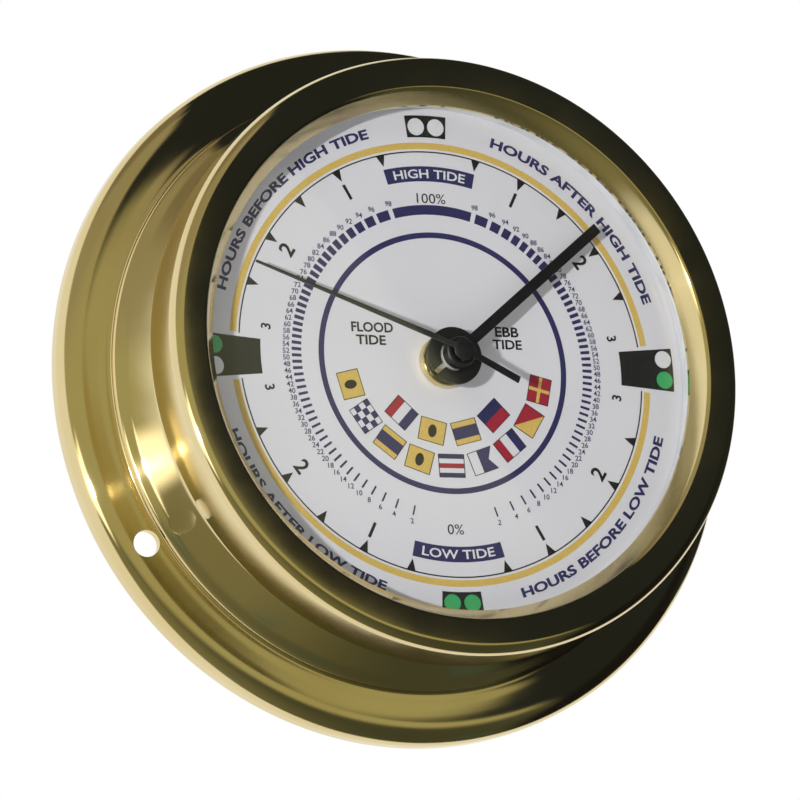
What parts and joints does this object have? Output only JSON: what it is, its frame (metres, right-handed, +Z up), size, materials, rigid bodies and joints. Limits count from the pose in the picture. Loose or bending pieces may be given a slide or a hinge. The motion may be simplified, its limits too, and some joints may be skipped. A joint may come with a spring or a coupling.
{
  "type": "bulkhead tide clock",
  "caption": "Round brass bulkhead tide clock: flanged spun case, domed glass in a pull-off bezel, printed dial, tide hand, seconds hand and quartz tide movement.",
  "frame": {"origin": "centre of the flange's back, on the plane of the bulkhead that the case is screwed to", "axes": "-Y out of the bulkhead towards the viewer, +Z up on the dial, +X to the right as seen from the front"},
  "size_m": [0.126, 0.0362, 0.126],
  "materials": {
    "polished_brass": "polished and lacquered",
    "turned_brass": "turned",
    "mineral_glass": "clear, gently domed",
    "black_rubber": "matt",
    "white_plastic": "moulded",
    "white_lacquer": "white lacquer with printed scales",
    "black_hand": "black lacquer",
    "black_plastic": "moulded",
    "steel": "bright",
    "magnet": "sintered",
    "soft_iron": "stamped",
    "copper_wire": "enamelled wire",
    "green_board": "solder mask",
    "cell_wrapper": "printed film"
  },
  "bodies": {
    "case": {"case_shell": "polished_brass", "dial_spacer": "white_plastic", "dial_plate": "white_lacquer", "rubber_washer": "black_rubber", "centre_bush": "turned_brass", "centre_nut": "turned_brass", "movement_housing": "black_plastic", "movement_cover": "black_plastic", "train_plate": "black_plastic", "plate_screw_1": "steel", "plate_screw_2": "steel", "stator_plate": "soft_iron", "coil_core": "soft_iron", "coil_bobbin": "white_plastic", "coil_winding": "copper_wire", "circuit_board": "green_board", "chip_cover": "black_plastic", "crystal_can": "steel", "battery_cell": "cell_wrapper", "contact_positive": "steel", "contact_negative": "steel"},
    "bezel": {"bezel_ring": "polished_brass", "glass_lens": "mineral_glass", "glass_gasket": "black_rubber"},
    "tide_set": {"tide_hand": "black_hand", "tide_tube": "white_plastic"},
    "motion_set": {"motion_wheel": "white_plastic"},
    "minute_set": {"minute_tube": "turned_brass", "cap_nut": "black_plastic"},
    "setting_set": {"setting_knob": "black_plastic"},
    "seconds_set": {"seconds_wheel": "steel", "seconds_hand": "black_hand"},
    "third_set": {"third_wheel": "white_plastic"},
    "minute_going": {"minute_wheel": "white_plastic"},
    "step_set": {"step_wheel": "white_plastic"},
    "rotor_set": {"rotor_pinion": "steel", "rotor_magnet": "magnet"}
  },
  "joints": [
    {"name": "bezel_pull", "type": "slide", "parent": "case", "child": "bezel", "axis": [0, -1, 0], "range_m": [0, 0.03]},
    {"name": "tide_hand_turn", "type": "hinge", "parent": "case", "child": "tide_set", "pos_m": [0, -0.025, 0], "axis": [0, 1, 0], "continuous": true},
    {"name": "motion_wheel_turn", "type": "hinge", "parent": "case", "child": "motion_set", "pos_m": [-0.00835, -0.0195, 0.00224], "axis": [0, 1, 0], "continuous": true},
    {"name": "minute_tube_turn", "type": "hinge", "parent": "case", "child": "minute_set", "pos_m": [0, -0.025, 0], "axis": [0, 1, 0], "continuous": true},
    {"name": "setting_knob_turn", "type": "hinge", "parent": "case", "child": "setting_set", "pos_m": [-0.01647, -0.005, -0.00072], "axis": [0, 1, 0], "continuous": true},
    {"name": "seconds_hand_turn", "type": "hinge", "parent": "case", "child": "seconds_set", "pos_m": [0, -0.025, 0], "axis": [0, 1, 0], "continuous": true},
    {"name": "third_wheel_turn", "type": "hinge", "parent": "case", "child": "third_set", "pos_m": [-0.00187, -0.0155, 0.01064], "axis": [0, 1, 0], "continuous": true},
    {"name": "minute_wheel_turn", "type": "hinge", "parent": "case", "child": "minute_going", "pos_m": [0, -0.018, 0], "axis": [0, 1, 0], "continuous": true},
    {"name": "step_wheel_turn", "type": "hinge", "parent": "case", "child": "step_set", "pos_m": [0.00677, -0.013, 0.00246], "axis": [0, 1, 0], "continuous": true},
    {"name": "rotor_turn", "type": "hinge", "parent": "case", "child": "rotor_set", "pos_m": [0.01256, -0.0105, 0.00144], "axis": [0, 1, 0], "continuous": true}
  ],
  "couplings": [
    {"joint": "motion_wheel_turn", "follows": "tide_hand_turn", "ratio": -4},
    {"joint": "minute_tube_turn", "follows": "tide_hand_turn", "ratio": 12},
    {"joint": "setting_knob_turn", "follows": "tide_hand_turn", "ratio": 12},
    {"joint": "third_wheel_turn", "follows": "seconds_hand_turn", "ratio": -0.125},
    {"joint": "minute_wheel_turn", "follows": "seconds_hand_turn", "ratio": 0.016667},
    {"joint": "step_wheel_turn", "follows": "seconds_hand_turn", "ratio": -5},
    {"joint": "rotor_turn", "follows": "seconds_hand_turn", "ratio": 30}
  ]
}
